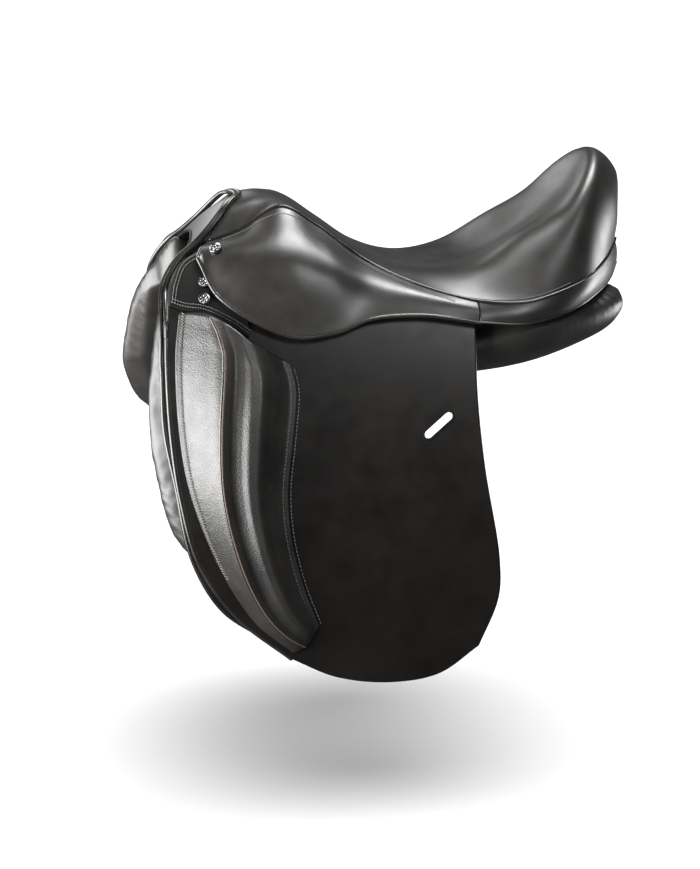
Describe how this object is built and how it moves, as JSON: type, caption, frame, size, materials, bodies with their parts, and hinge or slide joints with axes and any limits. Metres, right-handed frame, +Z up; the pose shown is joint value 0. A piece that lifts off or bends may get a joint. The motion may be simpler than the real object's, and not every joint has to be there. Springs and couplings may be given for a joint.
{
  "type": "english saddle",
  "caption": "Black dressage saddle: sprung tree, padded seat and panels, lifting flaps and skirts, outside thigh blocks, stirrup bars and girth billets.",
  "frame": {"origin": "on the centre plane, on the underside of the gullet lining at mid-length, over the middle of what carries the saddle", "axes": "+Z up, -Y towards the pommel, +X towards the near (left) side"},
  "size_m": [0.445, 0.5243, 0.5137],
  "materials": {
    "seat_leather": "smooth black calf, satin",
    "flap_leather": "fine-grained black calf, matt",
    "block_leather": "pebbled black calf, semi-gloss",
    "panel_leather": "soft black calf, semi-gloss",
    "billet_leather": "black strap leather",
    "stud_chrome": "polished, engraved",
    "bar_steel": "forged and brushed",
    "spring_steel": "rolled strip",
    "tree_laminate": "laminated beech, varnished",
    "foam": "latex and felt padding",
    "webbing": "woven tree webbing"
  },
  "bodies": {
    "root": {"seat_cover": "seat_leather", "seat_foam": "foam", "seat_web_front": "webbing", "seat_web_rear": "webbing", "tree_spring_near": "spring_steel", "tree_spring_off": "spring_steel", "tree": "tree_laminate", "head_plate": "spring_steel", "gullet_plate": "spring_steel", "skirt_yoke_near": "seat_leather", "skirt_yoke_off": "seat_leather", "rear_strip_near": "seat_leather", "rear_strip_off": "seat_leather", "flap_head_near": "flap_leather", "flap_head_off": "flap_leather", "point_pocket_near": "flap_leather", "point_pocket_off": "flap_leather", "sweat_flap_near": "flap_leather", "sweat_flap_off": "flap_leather", "front_roll_near": "panel_leather", "front_roll_off": "panel_leather", "girth_web_front_near": "webbing", "girth_web_front_off": "webbing", "girth_web_rear_near": "webbing", "girth_web_rear_off": "webbing", "panel_near": "panel_leather", "panel_off": "panel_leather", "gullet_lining": "panel_leather", "stirrup_bar_near": "bar_steel", "stirrup_bar_off": "bar_steel", "skirt_stud_near": "stud_chrome", "skirt_stud_off": "stud_chrome", "pocket_stud_upper_near": "stud_chrome", "pocket_stud_upper_off": "stud_chrome", "seat_welt_near": "seat_leather", "seat_welt_off": "seat_leather", "pommel_facing": "seat_leather"},
    "flap_near": {"flap_near": "flap_leather", "thigh_block_cover_near": "block_leather", "thigh_block_foam_near": "foam", "pocket_stud_lower_near": "stud_chrome"},
    "skirt_near": {"skirt_near": "seat_leather"},
    "bar_catch_near": {"bar_catch_near": "bar_steel"},
    "billet_front_near": {"billet_front_near": "billet_leather"},
    "billet_rear_near": {"billet_rear_near": "billet_leather"},
    "flap_off": {"flap_off": "flap_leather", "thigh_block_cover_off": "block_leather", "thigh_block_foam_off": "foam", "pocket_stud_lower_off": "stud_chrome"},
    "skirt_off": {"skirt_off": "seat_leather"},
    "bar_catch_off": {"bar_catch_off": "bar_steel"},
    "billet_front_off": {"billet_front_off": "billet_leather"},
    "billet_rear_off": {"billet_rear_off": "billet_leather"}
  },
  "joints": [
    {"name": "flap_lift_near", "type": "hinge", "parent": "root", "child": "flap_near", "pos_m": [0.118, -0.151, 0.044], "axis": [-0.0913, -0.9929, 0.0761], "range_deg": [0, 65]},
    {"name": "skirt_lift_near", "type": "hinge", "parent": "flap_near", "child": "skirt_near", "pos_m": [0.118, -0.151, 0.044], "axis": [-0.0913, -0.9929, 0.0761], "range_deg": [0, 45]},
    {"name": "bar_catch_turn_near", "type": "hinge", "parent": "root", "child": "bar_catch_near", "pos_m": [0.11246, -0.04822, 0.0487], "axis": [-0.5236, 0.0262, 0.8516], "range_deg": [0, 75]},
    {"name": "billet_front_swing_near", "type": "hinge", "parent": "root", "child": "billet_front_near", "pos_m": [0.12268, -0.06167, 0.00214], "axis": [0.9169, -0.0458, 0.3966], "range_deg": [-5, 5]},
    {"name": "billet_rear_swing_near", "type": "hinge", "parent": "root", "child": "billet_rear_near", "pos_m": [0.12548, -0.00567, 0.00214], "axis": [0.9169, -0.0458, 0.3966], "range_deg": [-5, 5]},
    {"name": "flap_lift_off", "type": "hinge", "parent": "root", "child": "flap_off", "pos_m": [-0.118, -0.151, 0.044], "axis": [-0.0913, 0.9929, -0.0761], "range_deg": [0, 65]},
    {"name": "skirt_lift_off", "type": "hinge", "parent": "flap_off", "child": "skirt_off", "pos_m": [-0.118, -0.151, 0.044], "axis": [-0.0913, 0.9929, -0.0761], "range_deg": [0, 45]},
    {"name": "bar_catch_turn_off", "type": "hinge", "parent": "root", "child": "bar_catch_off", "pos_m": [-0.11246, -0.04822, 0.0487], "axis": [-0.5236, -0.0262, -0.8516], "range_deg": [0, 75]},
    {"name": "billet_front_swing_off", "type": "hinge", "parent": "root", "child": "billet_front_off", "pos_m": [-0.12268, -0.06167, 0.00214], "axis": [0.9169, 0.0458, -0.3966], "range_deg": [-5, 5]},
    {"name": "billet_rear_swing_off", "type": "hinge", "parent": "root", "child": "billet_rear_off", "pos_m": [-0.12548, -0.00567, 0.00214], "axis": [0.9169, 0.0458, -0.3966], "range_deg": [-5, 5]}
  ]
}
